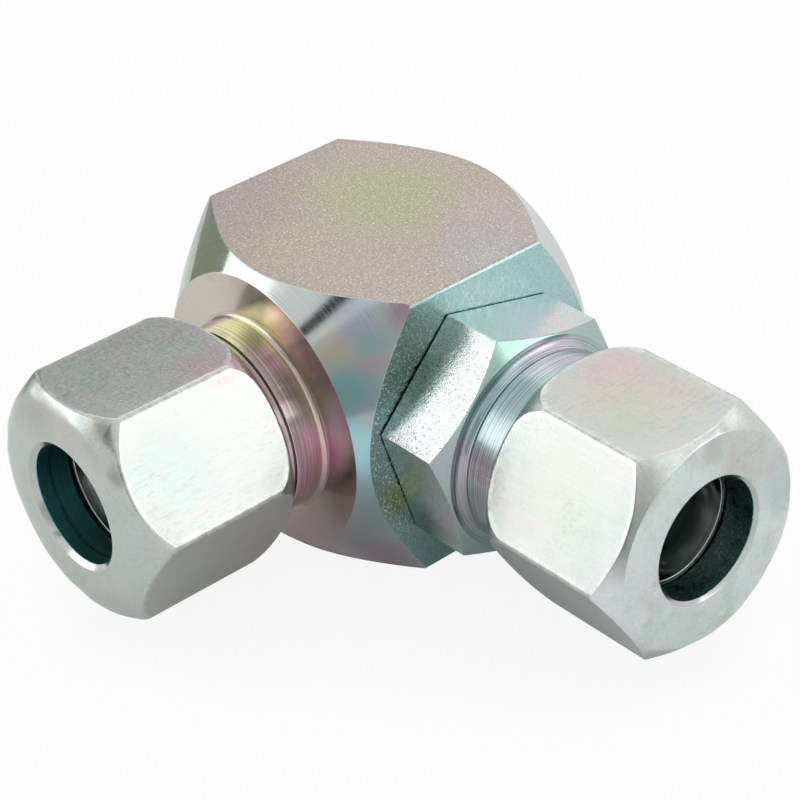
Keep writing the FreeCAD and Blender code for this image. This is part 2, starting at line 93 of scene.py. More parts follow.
# Unevenness of the nuts' worn rims: (size, waves round the nut, start)
RIM_WAVES = ((0.03, 7, 1.0), (0.02, 19, 2.5))
NUT_MOUTH = 0.45
NUT_BORE = 5.2
NUT_LAND = 3.4
NUT_RECESS = 6.9
SEAT_END = 10.3
RECESS_START = 9.1
NUT_THREAD = 8.05
# Narrow rows at both ends of the thread's bore, which is plain as in the CAD, keep its edges crisp
EDGE_ROW = 0.1

# Swivel stem, measured outwards from the body's middle
COLLAR_APOTHEM = 9.5
COLLAR_EDGE = 0.14
COLLAR_TURN = 46.1
COLLAR_SLOPE = 30.0
COLLAR_REAR = 13.1
COLLAR_FRONT = 19.8
COLLAR_FACE_RADIUS = 9.38
SHANK_RADIUS = 6.47
SHANK_END = -9.0
SHANK_CHAMFER = 0.5
GALLERY_RADIUS = 5.27
GALLERY_END = 4.2
SEAL_ROOT = 5.25
SEAL_REAR = 4.7
SEAL_FRONT = 6.65
GUIDE_ROOT = 5.65
GUIDE_REAR = -7.9
GUIDE_FRONT = -6.1
BALL_ROW = 8.33
BORE_RADIUS = 6.5
RACE_RADIUS = 1.28
BORE_END = -9.5
WIPER_SEAT = 11.8
WIPER_RADIUS = 7.9
CROSS_HOLE_RADIUS = 2.5
CROSS_HOLE_END = 6.0

# Hole through which the balls are loaded, down to the bottom flat
LOAD_HOLE_RADIUS = 1.3
LOAD_HOLE_TOP = 9.0
SCREW_HOLE_RADIUS = 2.02
SCREW_TOP = 3.25
SCREW_CHAMFER_TOP = 0.3
# The chamfer's cutter ends this far outside the flat
SCREW_CHAMFER_END = 0.1
SCREW_MOUTH_RADIUS = SCREW_HOLE_RADIUS + 0.4
# How far a cutter reaches past the surface that it opens
CUTTER_REACH = 1

# Cutting ring, measured from its tip: how far out the tip lies from the shoulder face, and the
# section as (radius, along, fillet)
RING_TIP = 7.6
RING_BORE = 5.075
RING_GROOVE = 5.225
RING_SECTION = ((RING_BORE, 0, 0), (5.38, 0, 0.04), (6.0, 2.9, 0.04), (6.0, 4.0, 0.05),
                (6.65, 4.636, 0.08), (6.65, 6.75, 0.12), (5.5, 7.9, 0.1), (RING_BORE, 7.9, 0.08),
                (RING_BORE, 3.7, 0), (RING_GROOVE, 3.2, 0), (RING_GROOVE, 2.1, 0),
                (RING_BORE, 2.1, 0), (RING_BORE, 1.6, 0), (RING_GROOVE, 1.6, 0),
                (RING_GROOVE, 0.5, 0), (RING_BORE, 0.5, 0))

# Zones of the skins, which are also their material slots
FLATS, TURNED, NECK, THREADS, INSIDE, RIGHT_FLAT, RING = range(7)
ZONES = 7

# Thread form over one pitch: (place in the pitch, depth below the crest as a share)
THREAD_FORM = ((0.0, 0.0), (0.07, 0.0), (0.13, 0.06), (0.28, 0.52), (0.43, 0.95), (0.5, 1.0),
               (0.57, 1.0), (0.64, 0.95), (0.79, 0.52), (0.94, 0.06))
RUN_OUT = 0.7

# Share of the shorter side that a rounded corner may take
CORNER_ROOM = 0.45

# How finely the meshes are cut
CORNER_STEPS = 4
FILLET_STEPS = 6
CROWN_STEPS = 14
CROWN_CORNER_STEPS = 6
DOME_STEPS = 9
RING_SIDES = 96
HOLE_SIDES = 72
CROSS_HOLE_SIDES = 36

# Cleaning of the meshes, in metres
WELD_DISTANCE = 2e-7
SPECK_LENGTH = 1e-8


class Port:
    """Axes of a turned piece: across and up span its round section, and out is where it points."""

    def __init__(self, across, up, out, start=(0.0, 0.0, AXIS_HEIGHT)):
        self.across, self.up, self.out = (np.array(axis, float) for axis in (across, up, out))
        self.start = np.array(start, float)

    def points(self, angle, radius, along):
        round_part = np.multiply.outer(radius * np.cos(angle), self.across)
        round_part = round_part + np.multiply.outer(radius * np.sin(angle), self.up)
        return self.start + round_part + np.multiply.outer(along, self.out)

    def moved(self, along):
        """The same axes with their start further out."""
        return Port(self.across, self.up, self.out, self.start + self.out * along)


FIXED_PORT = Port((1, 0, 0), (0, 0, 1), (0, -1, 0))
SWIVEL_PORT = Port((0, 1, 0), (0, 0, 1), (1, 0, 0))
LOAD_HOLE = Port((0, 1, 0), (1, 0, 0), (0, 0, -1), (BALL_ROW, 0.0, 0.0))
CROSS_HOLES = (FIXED_PORT, Port((0, 1, 0), (1, 0, 0), (0, 0, -1)))


class Polygon:
    """Section with flat sides and rounded corners, one of them at the angle turn, in degrees."""

    def __init__(self, sides, apothem, edge, turn):
        self.sides, self.apothem, self.edge, self.turn = sides, apothem, edge, math.radians(turn)
        self.half = math.pi / sides
        self.centre = (apothem - edge) / math.cos(self.half)
        self.tangent = math.atan2(edge * math.sin(self.half),
                                  self.centre + edge * math.cos(self.half))

    def radius(self, angle):
        """Distance from the axis to the section's edge."""
        off = abs((angle - self.turn + self.half) % (2 * self.half) - self.half)
        if off < self.tangent:
            bulge = math.sqrt(self.edge ** 2 - (self.centre * math.sin(off)) ** 2)
            return self.centre * math.cos(off) + bulge
        return self.apothem / math.cos(self.half - off)

    def angles(self, on_edge, on_flat):
        """Angles round the axis, closer together over each rounded corner."""
        flat_end = 2 * self.half - self.tangent
        side = np.concatenate((np.linspace(-self.tangent, self.tangent, on_edge, endpoint=False),
                               np.linspace(self.tangent, flat_end, on_flat, endpoint=False)))
        return np.concatenate([self.turn + 2 * self.half * k + side for k in range(self.sides)])


class Nut:
    """A union nut's place and shape. Its face is a soft dome, or is turned inside a crisp rim.

    The mouth is the chamfer where its bore meets that face.
    """

    def __init__(self, port, axis, shoulder, turn, crown_depth, chamfer_start, mouth, domed):
        self.port, self.axis, self.rear = port, axis, shoulder + NUT_REAR
        self.hexagon = Polygon(6, NUT_APOTHEM, NUT_EDGE, turn)
        self.crown_depth, self.chamfer_start = crown_depth, chamfer_start
        self.mouth, self.domed = mouth, domed


LEFT_NUT = Nut(FIXED_PORT, "Y", BODY_FRONT, turn=1.4, crown_depth=3.4, chamfer_start=8.9,
               mouth=0.45, domed=True)
RIGHT_NUT = Nut(SWIVEL_PORT, "X", COLLAR_FRONT, turn=2.1, crown_depth=4.2, chamfer_start=8.72,
                mouth=0.3, domed=False)


def soften(corners):
    """Round the corners of a section. A corner is (radius, along, fillet, zone)."""
    softened = []
    for index, (radius, along, fillet, zone) in enumerate(corners):
        here = np.array((radius, along))
        if fillet == 0:
            softened.append((radius, along, zone))
            continue
        before = np.array(corners[index - 1][:2]) - here
        after = np.array(corners[(index + 1) % len(corners)][:2]) - here
        room = CORNER_ROOM * min(np.linalg.norm(before), np.linalg.norm(after))
        before /= np.linalg.norm(before)
        after /= np.linalg.norm(after)
        half = math.acos(max(-1.0, min(1.0, float(before @ after)))) / 2
        reach = min(fillet / math.tan(half), room)
        rounding = reach * math.tan(half)
        middle = (before + after) / np.linalg.norm(before + after)
        centre = here + middle * rounding / math.sin(half)
        first = before * reach + here - centre
        last = after * reach + here - centre
        sweep = math.pi - 2 * half
        for step in range(CORNER_STEPS + 1):
            share = step / CORNER_STEPS
            spoke = first * math.sin((1 - share) * sweep) + last * math.sin(share * sweep)
            point = centre + spoke / math.sin(sweep)
            softened.append((point[0], point[1], zone))
    return softened


def thread_depth(place):
    places = [share for share, _ in THREAD_FORM] + [1.0]
    depths = [depth for _, depth in THREAD_FORM] + [0.0]
    return float(np.interp(place % 1.0, places, depths))


def thread_rows(turned, start, end):
    """Points along a thread whose helix has turned so far. They stop at the thread's two ends."""
    shift = PITCH * turned / (2 * math.pi)
    pitches = int(math.ceil((end - start) / PITCH)) + 2
    rows = []
    for number in range(pitches):
        for place, _ in THREAD_FORM:
            along = min(max(start + (number - 1 + place) * PITCH + shift, start), end)
            fade = min(1.0, (along - start) / RUN_OUT)
            below_crest = MALE_DEPTH * fade * thread_depth((along - start - shift) / PITCH)
            rows.append((CREST_RADIUS - below_crest, along))
    return rows


def mesh_from_columns(name, port, angles, section, closed):
    """Skin over the sections at the given angles round the port's axis."""
    all_angles = (*angles, angles[0] + 2 * math.pi)
    columns = [section(angle) for angle in all_angles]
    count = len(columns[0])
    assert all(len(column) == count for column in columns), name
    points = np.concatenate([
        port.points(np.full(count, angle), np.array([point[0] for point in column]),
                    np.array([point[1] for point in column]))
        for angle, column in zip(all_angles, columns)
    ])
    faces = []
    face_zones = []
    for column in range(len(angles)):
        for row in range(count if closed else count - 1):
            after = (row + 1) % count
            here = column * count
            there = here + count
            faces.append((here + row, there + row, there + after, here + after))
            face_zones.append(columns[column][row][2])
    mesh = bpy.data.meshes.new(name)
    mesh.from_pydata((points * MM).tolist(), [], faces)
    mesh.polygons.foreach_set("material_index", face_zones)
    work = bmesh.new()
    work.from_mesh(mesh)
    bmesh.ops.remove_doubles(work, verts=work.verts, dist=WELD_DISTANCE)
    bmesh.ops.dissolve_degenerate(work, edges=work.edges, dist=SPECK_LENGTH)
    bmesh.ops.recalc_face_normals(work, faces=work.faces)
    work.to_mesh(mesh)
    work.free()
    mesh.shade_smooth()
    for _ in range(ZONES):
        mesh.materials.append(None)
    return mesh


def turned_mesh(name, port, rows, sides, closed):
    """Round skin with the same section all the way round."""
    angles = np.linspace(0, 2 * math.pi, sides, endpoint=False)
    return mesh_from_columns(name, port, angles, lambda angle: rows, closed)


def new_object(name, mesh):
    piece = bpy.data.objects.new(name, mesh)
    bpy.context.scene.collection.objects.link(piece)
    return piece


def drill(port, corners, sides):
    """Cutter for a round hole. A corner is (radius, along)."""
    rows = [(radius, along, INSIDE) for radius, along in corners]
    return new_object("cutter", turned_mesh("cutter", port, rows, sides, False))


def cut(piece, cutters):
    """Take the cutters' volumes out of a piece for good."""
    for cutter in cutters:
        modifier = piece.modifiers.new("cut", "BOOLEAN")
        modifier.operation = "DIFFERENCE"
        modifier.solver = "EXACT"
        modifier.object = cutter
    bpy.context.view_layer.update()
    evaluated = piece.evaluated_get(bpy.context.evaluated_depsgraph_get())
    result = bpy.data.meshes.new_from_object(evaluated)
    result.name = piece.name
    piece.modifiers.clear()
    piece.data = result
    for cutter in cutters:
        bpy.data.objects.remove(cutter)


def finish_piece(piece, materials, body, node):
    for number, material in enumerate(materials):
        piece.data.materials[number] = material
    while len(piece.data.materials) > len(materials):
        piece.data.materials.pop()
    piece.data.shade_smooth()
    weighted = piece.modifiers.new("even_normals", "WEIGHTED_NORMAL")
    weighted.mode = "FACE_AREA"
    weighted.weight = 60
    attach(piece, body)
    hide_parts(node)


def race(side, steps):
    """Half-round ball race, on side 1 in the body's bore and on side -1 in the stem's shank."""
    return [(BORE_RADIUS + side * RACE_RADIUS * math.cos(sweep),
             BALL_ROW + RACE_RADIUS * math.sin(sweep))
            for sweep in np.linspace(-math.pi / 2, math.pi / 2, steps)]


def stub_rows(face, fillet, neck_end, turned):
    """A port's stub from its shoulder face to its tip, then the corners down to its passage."""
    rows = []
    for step in range(FILLET_STEPS + 1):
        sweep = math.pi / 2 * step / FILLET_STEPS
        rows.append((ROOT_RADIUS + fillet - fillet * math.sin(sweep),
                     face + fillet * (1 - math.cos(sweep)), NECK))
    neck = [(ROOT_RADIUS, face + fillet, 0, NECK),
            (NECK_RADIUS, face + fillet + ROOT_STEP, 0.03, NECK),
            (NECK_RADIUS, face + neck_end, 0.1, NECK),
            (RELIEF_RADIUS, face + neck_end, 0.05, NECK),
            (CREST_RADIUS, face + THREAD_START, 0, THREADS)]
    rows += soften(neck)[1:-1]
    tip = STUB_END - THREAD_CHAMFER
    for radius, along in thread_rows(turned, face + THREAD_START, face + STUB_END):
        chamfer = CREST_RADIUS - max(0.0, along - face - tip)
        rows.append((min(radius, chamfer), along, THREADS))
    mouth = [(THREAD_RADIUS - THREAD_CHAMFER, face + STUB_END, 0, NECK),
             (MOUTH_RADIUS, face + STUB_END, 0.06, INSIDE),
             (SOCKET_RADIUS, face + SOCKET_START, 0, INSIDE),
             (SOCKET_RADIUS, face + SOCKET_STOP, 0.05, INSIDE),
             (PASS_RADIUS, face + SOCKET_STOP, 0.1, INSIDE)]
    return rows, mouth


def make_elbow_body():
    bar = Polygon(4, BAR_APOTHEM, BAR_EDGE, 45)
    angles = bar.angles(on_edge=6, on_flat=30)

    def section(angle):
        reach = bar.radius(angle)
        flat = RIGHT_FLAT if math.cos(angle) > math.sqrt(0.5) else FLATS
        back = [*((radius, BODY_BACK, 0, TURNED) for radius in BACK_FACE_ROWS),
                (BACK_FACE_RADIUS, BODY_BACK, 0.12, TURNED),
                (reach, BODY_BACK + reach - BACK_FACE_RADIUS, 0.15, flat),
                (reach, BODY_FRONT - reach + FRONT_RING_RADIUS, 0.15, TURNED),
                (FRONT_RING_RADIUS, BODY_FRONT, 0.1, RING),
                (ROOT_RADIUS + FIXED_ROOT_FILLET, BODY_FRONT, 0, NECK)]
        rows, mouth = stub_rows(BODY_FRONT, FIXED_ROOT_FILLET, FIXED_NECK_END, angle - angles[0])
        inner = soften(mouth + [(PASS_RADIUS, 0, 0, INSIDE), (0, 0, 0, INSIDE)])
        return soften(back)[:-1] + rows + inner

    name = "elbow_body_shell"
    body = new_object(name, mesh_from_columns(name, FIXED_PORT, angles, section, False))
    bore = [(0, BORE_END), (BORE_RADIUS, BORE_END), *race(side=1, steps=15),
            (BORE_RADIUS, WIPER_SEAT), (WIPER_RADIUS, WIPER_SEAT),
            (WIPER_RADIUS, BAR_APOTHEM + CUTTER_REACH), (0, BAR_APOTHEM + CUTTER_REACH)]
    load = [(0, -LOAD_HOLE_TOP), (LOAD_HOLE_RADIUS, -LOAD_HOLE_TOP),
            (LOAD_HOLE_RADIUS, -SCREW_TOP), (SCREW_HOLE_RADIUS, -SCREW_TOP),
            (SCREW_HOLE_RADIUS, -SCREW_CHAMFER_TOP), (SCREW_MOUTH_RADIUS, SCREW_CHAMFER_END),
            (SCREW_MOUTH_RADIUS, CUTTER_REACH), (0, CUTTER_REACH)]
    cut(body, [drill(SWIVEL_PORT, bore, HOLE_SIDES), drill(LOAD_HOLE, load, HOLE_SIDES)])
    return body


def shank_groove(root, rear, front, lip=0.05, fillet=0.05):
    """Corners of a groove round the stem's shank."""
    return [(SHANK_RADIUS, rear, lip, INSIDE), (root, rear, fillet, INSIDE),
            (root, front, fillet, INSIDE), (SHANK_RADIUS, front, lip, INSIDE)]


def make_swivel_stem():
    collar = Polygon(6, COLLAR_APOTHEM, COLLAR_EDGE, COLLAR_TURN)
    angles = collar.angles(on_edge=5, on_flat=16)
    ball_race = [(radius, along, 0, INSIDE) for radius, along in race(side=-1, steps=13)]
    for end in (0, -1):
        ball_race[end] = (SHANK_RADIUS, *ball_race[end][1:])

    def section(angle):
        reach = collar.radius(angle)
        slope = (reach - COLLAR_FACE_RADIUS) * math.tan(math.radians(COLLAR_SLOPE))
        shank = [(0, SHANK_END, 0, INSIDE), (SHANK_RADIUS - SHANK_CHAMFER, SHANK_END, 0.05, INSIDE),
                 (SHANK_RADIUS, SHANK_END + SHANK_CHAMFER, 0.1, INSIDE),
                 *shank_groove(GUIDE_ROOT, GUIDE_REAR, GUIDE_FRONT),
                 *shank_groove(GALLERY_RADIUS, -GALLERY_END, GALLERY_END, 0.1, 0.3),
                 *shank_groove(SEAL_ROOT, SEAL_REAR, SEAL_FRONT),
                 *ball_race,
                 (SHANK_RADIUS, COLLAR_REAR, 0.1, TURNED), (reach, COLLAR_REAR, 0.07, FLATS),
                 (reach, COLLAR_FRONT - slope, 0.08, TURNED),
                 (COLLAR_FACE_RADIUS, COLLAR_FRONT, 0.05, TURNED),
                 (ROOT_RADIUS + SWIVEL_ROOT_FILLET, COLLAR_FRONT, 0, NECK)]
        rows, mouth = stub_rows(COLLAR_FRONT, SWIVEL_ROOT_FILLET, SWIVEL_NECK_END,
                                angle - angles[0])
        passage = [(PASS_RADIUS, -GALLERY_END, 0.2, INSIDE), (0, -GALLERY_END, 0, INSIDE)]
        return soften(shank)[:-1] + rows + soften(mouth + passage)

    name = "swivel_stem_shell"
    stem = new_object(name, mesh_from_columns(name, SWIVEL_PORT, angles, section, False))
    hole = [(0, -CROSS_HOLE_END), (CROSS_HOLE_RADIUS, -CROSS_HOLE_END),
            (CROSS_HOLE_RADIUS, CROSS_HOLE_END), (0, CROSS_HOLE_END)]
    cut(stem, [drill(port, hole, CROSS_HOLE_SIDES) for port in CROSS_HOLES])
    return stem


def domed_drop(radius):
    """How far a domed face lies behind the nut's end, out into the 45 degree chamfer."""
    outside = max(0.0, min(radius, DOME_END) - DOME_START)
    return DOME_CURVE * outside ** 3 + max(0.0, radius - DOME_END)


def crown_rows(nut, reach):
    """Elliptical crown of a nut's thread end, out to its flat or corner."""
    depth, rounding = nut.crown_depth, CROWN_ROUNDING
    last = math.asin((reach - rounding - CROWN_CENTRE) / (CROWN_REACH - rounding))
    corner_along = depth - (depth - rounding) * math.cos(last)
    rows = [(CROWN_CENTRE + CROWN_REACH * math.sin(sweep), depth * (1 - math.cos(sweep)), FLATS)
            for sweep in np.linspace(CROWN_FIRST, last, CROWN_STEPS)]
    rows += [(reach - rounding + rounding * math.sin(sweep),
              corner_along - rounding * math.cos(sweep), FLATS)
             for sweep in np.linspace(last, math.pi / 2, CROWN_CORNER_STEPS)[1:]]
    return rows


def make_union_nut(name, nut):
    angles = nut.hexagon.angles(on_edge=7, on_flat=28)
    face = NUT_LENGTH - (0.0 if nut.domed else FLAT_FACE_DROP)

    def section(angle):
        reach = nut.hexagon.radius(angle)
        crown = crown_rows(nut, reach)
        worn = sum(size * math.sin(waves * angle + start) for size, waves, start in RIM_WAVES)
        front = [(reach, crown[-1][1], 0, FLATS)]
        if nut.domed:
            edge = DOME_EDGE + DOME_EDGE_GROWTH * (reach - NUT_APOTHEM) ** 2
            front.append((reach, NUT_LENGTH - domed_drop(reach + worn), edge, NECK))
            front += [(radius, NUT_LENGTH - domed_drop(radius + worn), 0.0, NECK)
                      for radius in np.linspace(reach - DOME_SHOULDER, DOME_START, DOME_STEPS)]
        else:
            end = NUT_LENGTH + nut.chamfer_start
            front += [(reach, end - (reach + worn), 0.14, NECK),
                      (NUT_RIM_RADIUS - worn, end - NUT_RIM_RADIUS, 0.14, NECK),
                      (DOME_START, face, 1.5, NECK)]
        front += [(NUT_BORE + nut.mouth, face, 0.12, TURNED),
                  (NUT_BORE, face - nut.mouth, 0.12, INSIDE),
                  (NUT_BORE, NUT_LENGTH - NUT_LAND, 0.1, INSIDE),
                  (NUT_RECESS, SEAT_END, 0.1, INSIDE),
                  (NUT_RECESS, RECESS_START, 0.1, INSIDE),
                  (NUT_THREAD, RECESS_START, 0, INSIDE),
                  (NUT_THREAD, RECESS_START - EDGE_ROW, 0, INSIDE),
                  (NUT_THREAD, NUT_MOUTH + EDGE_ROW, 0, INSIDE),
                  (NUT_THREAD, NUT_MOUTH, 0, INSIDE)]
        return crown + soften(front)[1:]

    place = nut.port.moved(nut.rear)
    return new_object(name, mesh_from_columns(name, place, angles, section, True))


def make_cutting_ring(name, port, tip):
    corners = [(*corner, INSIDE) for corner in RING_SECTION]
    rows = [(radius, along, 0) for radius, along, _ in soften(corners)]
    return new_object(name, turned_mesh(name, port.moved(tip), rows, RING_SIDES, True))


# Materials

# A patch's middle has its full strength, and noise sways its place, in metres. Patches are stains,
# and in places painted light and shade
PATCH_CORE = 0.25
PATCH_SWAY = 0.0035
# Lathe rings also move on along the axis, so that necks show them as well as faces
RING_DRIFT = 0.61
# Range that a noise mostly keeps to
NOISE_RANGE = (0.3, 0.7)
# Height of the bumps: of fine marks in metres, and of blasted grain as a share of its size
MARK_HEIGHT = 0.000004
GRAIN_HEIGHT = 0.26
# Colour sockets of a Mix node
MIX_COLOURS, MIX_RESULT = slice(6, 8), 2


class Surface:
    """A Principled material and its nodes. Patches are in the object's millimetres."""

    def __init__(self, name, metallic=1.0):
        self.material = bpy.data.materials.new(name)
        self.material.use_nodes = True
        self.tree = self.material.node_tree
        self.shader = self.tree.nodes["Principled BSDF"]
        self.shader.inputs["Metallic"].default_value = metallic
        self.place = self.add("ShaderNodeTexCoord").outputs["Object"]

    def add(self, kind, inputs=(), **settings):
        node = self.tree.nodes.new(kind)
        for name, value in settings.items():
            setattr(node, name, value)
        for name, value in dict(inputs).items():
            self.put(node.inputs[name], value)
        return node

    def put(self, socket, value):
        if isinstance(value, bpy.types.NodeSocket):
            self.tree.links.new(value, socket)
        else:
            socket.default_value = value

    def set(self, **values):
        for name, value in values.items():
            self.put(self.shader.inputs[name.replace("_", " ")], value)

    def moved(self, offset, scale=(1, 1, 1)):
        return self.add("ShaderNodeMapping", {"Vector": self.place, "Location": offset,
                                              "Scale": scale}).outputs[0]

    def noise(self, scale, detail, roughness=0.5, offset=(0, 0, 0), squeeze=(1, 1, 1),
              distortion=0.0):
        return self.add("ShaderNodeTexNoise", {
            "Vector": self.moved(offset, squeeze), "Scale": scale, "Detail": detail,
            "Roughness": roughness, "Distortion": distortion}).outputs["Fac"]

    def maths(self, operation, *values, clamp=False):
        return self.add("ShaderNodeMath", dict(enumerate(values)), operation=operation,
                        use_clamp=clamp).outputs[0]

    def fold(self, operation, values):
        """One value made of several, such as the largest of them."""
        result = values[0]
        for value in values[1:]:
            result = self.maths(operation, result, value)
        return result

    def vector(self, operation, first, second):
        return self.add("ShaderNodeVectorMath", {0: first, 1: second}, operation=operation)

    def scaled(self, vector, factor):
        return self.add("ShaderNodeVectorMath", {0: vector, "Scale": factor},
                        operation="SCALE").outputs[0]

    def stretch(self, value, low, high, to_low=0.0, to_high=1.0):
        return self.add("ShaderNodeMapRange", {
            "Value": value, "From Min": low, "From Max": high, "To Min": to_low,
            "To Max": to_high}).outputs[0]

    def spread(self, noise, to_low, to_high):
        """Noise stretched from its usual range to another."""
        return self.stretch(noise, *NOISE_RANGE, to_low, to_high)

    def squares(self, first, second):
        """Sum of the squares of two values."""
        return self.maths("ADD", self.maths("POWER", first, 2.0), self.maths("POWER", second, 2.0))

    def mix(self, share, first, second):
        node = self.add("ShaderNodeMix", {0: share}, data_type="RGBA")
        for socket, colour in zip(node.inputs[MIX_COLOURS], (first, second)):
            self.put(socket, colour if isinstance(colour, bpy.types.NodeSocket) else (*colour, 1))
        return node.outputs[MIX_RESULT]

    def rings(self, path, scale, seed=0.0):
        """Random rings along a path, such as a tool leaves."""
        shifted = self.maths("ADD", path, seed)
        return self.add("ShaderNodeTexNoise", {
            "W": shifted, "Scale": scale, "Detail": 2.0, "Roughness": 0.6},
            noise_dimensions="1D").outputs["Fac"]

    def near(self, place, centre, reach, share=1.0):
        away = self.vector("DISTANCE", place, [c * MM for c in centre]).outputs["Value"]
        return self.add("ShaderNodeMapRange", {
            "Value": away, "From Min": reach * MM, "From Max": PATCH_CORE * reach * MM,
            "To Min": 0.0, "To Max": share}, interpolation_type="SMOOTHSTEP").outputs[0]

    def patched(self, colour, patches):
        """A colour with soft-edged patches: stains, and in places painted light and shade. A patch
        is (centre, reach, share, colour).
        """
        sway = self.add("ShaderNodeTexNoise", {"Vector": self.place, "Scale": 160.0,
                                               "Detail": 2.0}).outputs["Color"]
        centred = self.vector("SUBTRACT", sway, (0.5, 0.5, 0.5)).outputs[0]
        place = self.vector("ADD", self.place, self.scaled(centred, PATCH_SWAY)).outputs[0]
        for centre, reach, share, tint in patches:
            colour = self.mix(self.near(place, centre, reach, share), colour, tint)
        return colour

    def colour(self, tint, tone):
        self.set(Base_Color=self.scaled(tint, tone))

    def bump(self, height, distance, strength=1.0):
        node = self.add("ShaderNodeBump", {"Height": height, "Distance": distance,
                                           "Strength": strength})
        self.set(Normal=node.outputs[0])

    def radial(self, axis):
        """Distance from a port's axis and place along it, in metres."""
        split = self.add("ShaderNodeSeparateXYZ", {"Vector": self.moved((0, 0, -AXIS_HEIGHT * MM))})
        first, second, along = {"X": (1, 2, 0), "Y": (0, 2, 1)}[axis]
        squares = self.squares(split.outputs[first], split.outputs[second])
        return self.maths("SQRT", squares), split.outputs[along]


def blasted_zinc(name, colour, patches, roughness=0.3, glint=1.0, bumps=0.6, grains=4600.0,
                 glint_place=None):
    """Blasted flat: fine grain with painted glints, or dark specks, over slow passivation colours.
    """
    surface = Surface(name)
    grain = surface.noise(grains, 2.0, 0.6)
    pits = surface.noise(0.33 * grains, 2.0, 0.5, (0.01, 0, 0))
    fleck = surface.stretch(surface.noise(1.25 * grains, 1.0, 0.5, (0.03, 0.02, 0.01)), 0.58, 0.7)
    if glint_place:
        fleck = surface.maths("MULTIPLY", fleck, surface.near(surface.place, *glint_place))
    shade = surface.stretch(grain, 0.32, 0.68, 0.87, 1.05)
    surface.colour(surface.patched(colour, patches),
                   surface.maths("MULTIPLY_ADD", fleck, glint, shade))
    surface.set(Roughness=surface.spread(pits, roughness - 0.08, roughness + 0.08))
    surface.bump(surface.maths("ADD", grain, pits), GRAIN_HEIGHT / grains, bumps)
    return surface.material


def turned_zinc(name, axis, colour, patches=(), *, roughness, anisotropic=0.75, bands=(),
                groove=1.0, contrast=0.04, lines=3400.0, calm_place=None):
    """Turned face: fine rings round the port's axis, which draw reflections out across them.

    A band is (rings per metre, seed, share, colour), and rings fade out about a calm place.
    """
    surface = Surface(name)
    distance, along = surface.radial(axis)
    drift = RING_DRIFT if axis == "Y" else -RING_DRIFT
    path = surface.maths("MULTIPLY_ADD", along, drift, distance)
    fine = surface.rings(path, lines)
    if calm_place:
        rough_share = surface.maths("SUBTRACT", 1.0, surface.near(surface.place, *calm_place))
        centred = surface.maths("SUBTRACT", fine, 0.5)
        fine = surface.maths("MULTIPLY_ADD", centred, rough_share, 0.5)
    broad = surface.rings(path, 0.28 * lines, 0.3)
    tinted = surface.patched(colour, patches)
    for scale, seed, share, band in bands:
        ring = surface.stretch(surface.rings(path, scale, seed), 0.47, 0.6)
        tinted = surface.mix(surface.maths("MULTIPLY", ring, share, clamp=True), tinted, band)
    surface.colour(tinted, surface.spread(fine, 1 - contrast, 1 + contrast))
    tangent = surface.add("ShaderNodeTangent", direction_type="RADIAL", axis=axis)
    surface.set(Roughness=surface.spread(fine, roughness - 0.04, roughness + 0.05),
                Anisotropic=anisotropic, Anisotropic_Rotation=0.25, Tangent=tangent.outputs[0])
    surface.bump(surface.maths("MULTIPLY_ADD", broad, 1.2, fine), MARK_HEIGHT * groove)
    return surface.material


def nut_wear_and_highlight(surface, nut):
    """Share of wear and painted highlight on a nut's edges and rims, and share of its front
    chamfer.
    """
    port = nut.port
    from_axis = surface.moved([-c * MM for c in port.start])

    def dot(direction):
        return surface.vector("DOT_PRODUCT", from_axis, direction).outputs["Value"]

    def close(value, limit, far, near, share=1.0):
        """Share that grows from far to near below a limit, all in mm."""
        return surface.stretch(value, (limit - far) * MM, (limit - near) * MM, 0.0, share)

    distances = []
    for number in range(3):
        angle = nut.hexagon.turn + math.radians(30 + 60 * number)
        across = dot(math.cos(angle) * port.across + math.sin(angle) * port.up)
        distances.append(surface.maths("ABSOLUTE", across))
    first, last, total = (surface.fold(operation, distances)
                          for operation in ("MAXIMUM", "MINIMUM", "ADD"))
    second = surface.maths("SUBTRACT", surface.maths("SUBTRACT", total, first), last)
    distance = surface.radial(nut.axis)[0]
    reach = surface.maths("ADD", distance, dot(port.out))
    inward = surface.stretch(dot(port.out), nut.rear * MM, (nut.rear + nut.crown_depth) * MM, 1, 0)
    outward = surface.stretch(distance, CROWN_CENTRE * MM, (CROWN_CENTRE + CROWN_REACH) * MM)
    ellipse = surface.squares(inward, outward)
    cone = NUT_LENGTH + nut.rear + nut.chamfer_start
    rims = surface.maths("MAXIMUM", close(reach, cone, 0.40, 0.18),
                         surface.stretch(ellipse, 0.80, 0.95))
    corner = close(second, NUT_APOTHEM, 0.24, 0.06, 0.6)
    near_flat = close(first, NUT_APOTHEM, 0.35, 0.12)
    edge = surface.maths("MAXIMUM", corner, surface.maths("MULTIPLY", near_flat, rims))
    patchy = surface.stretch(surface.noise(900.0, 4.0, 0.65, (0.02, 0.03, 0.01)), 0.36, 0.62)
    return surface.maths("MULTIPLY", edge, patchy, clamp=True), close(reach, cone, 0.14, 0.06)


# Stains on the nuts' skin: (scale, offset, share, colour)
NUT_STAINS = ((230.0, (0.02, 0.01, 0.03), 0.4, (0.38, 0.50, 0.44)),
              (170.0, (0.05, 0.07, 0.01), 0.4, (0.57, 0.44, 0.45)),
              (420.0, (0.01, 0.04, 0.06), 0.25, (0.50, 0.49, 0.38)))
# Lighter colour of the nuts' edges: partly real wear, partly painted highlight
WORN_HIGHLIGHT_COLOUR = (0.64, 0.66, 0.63)


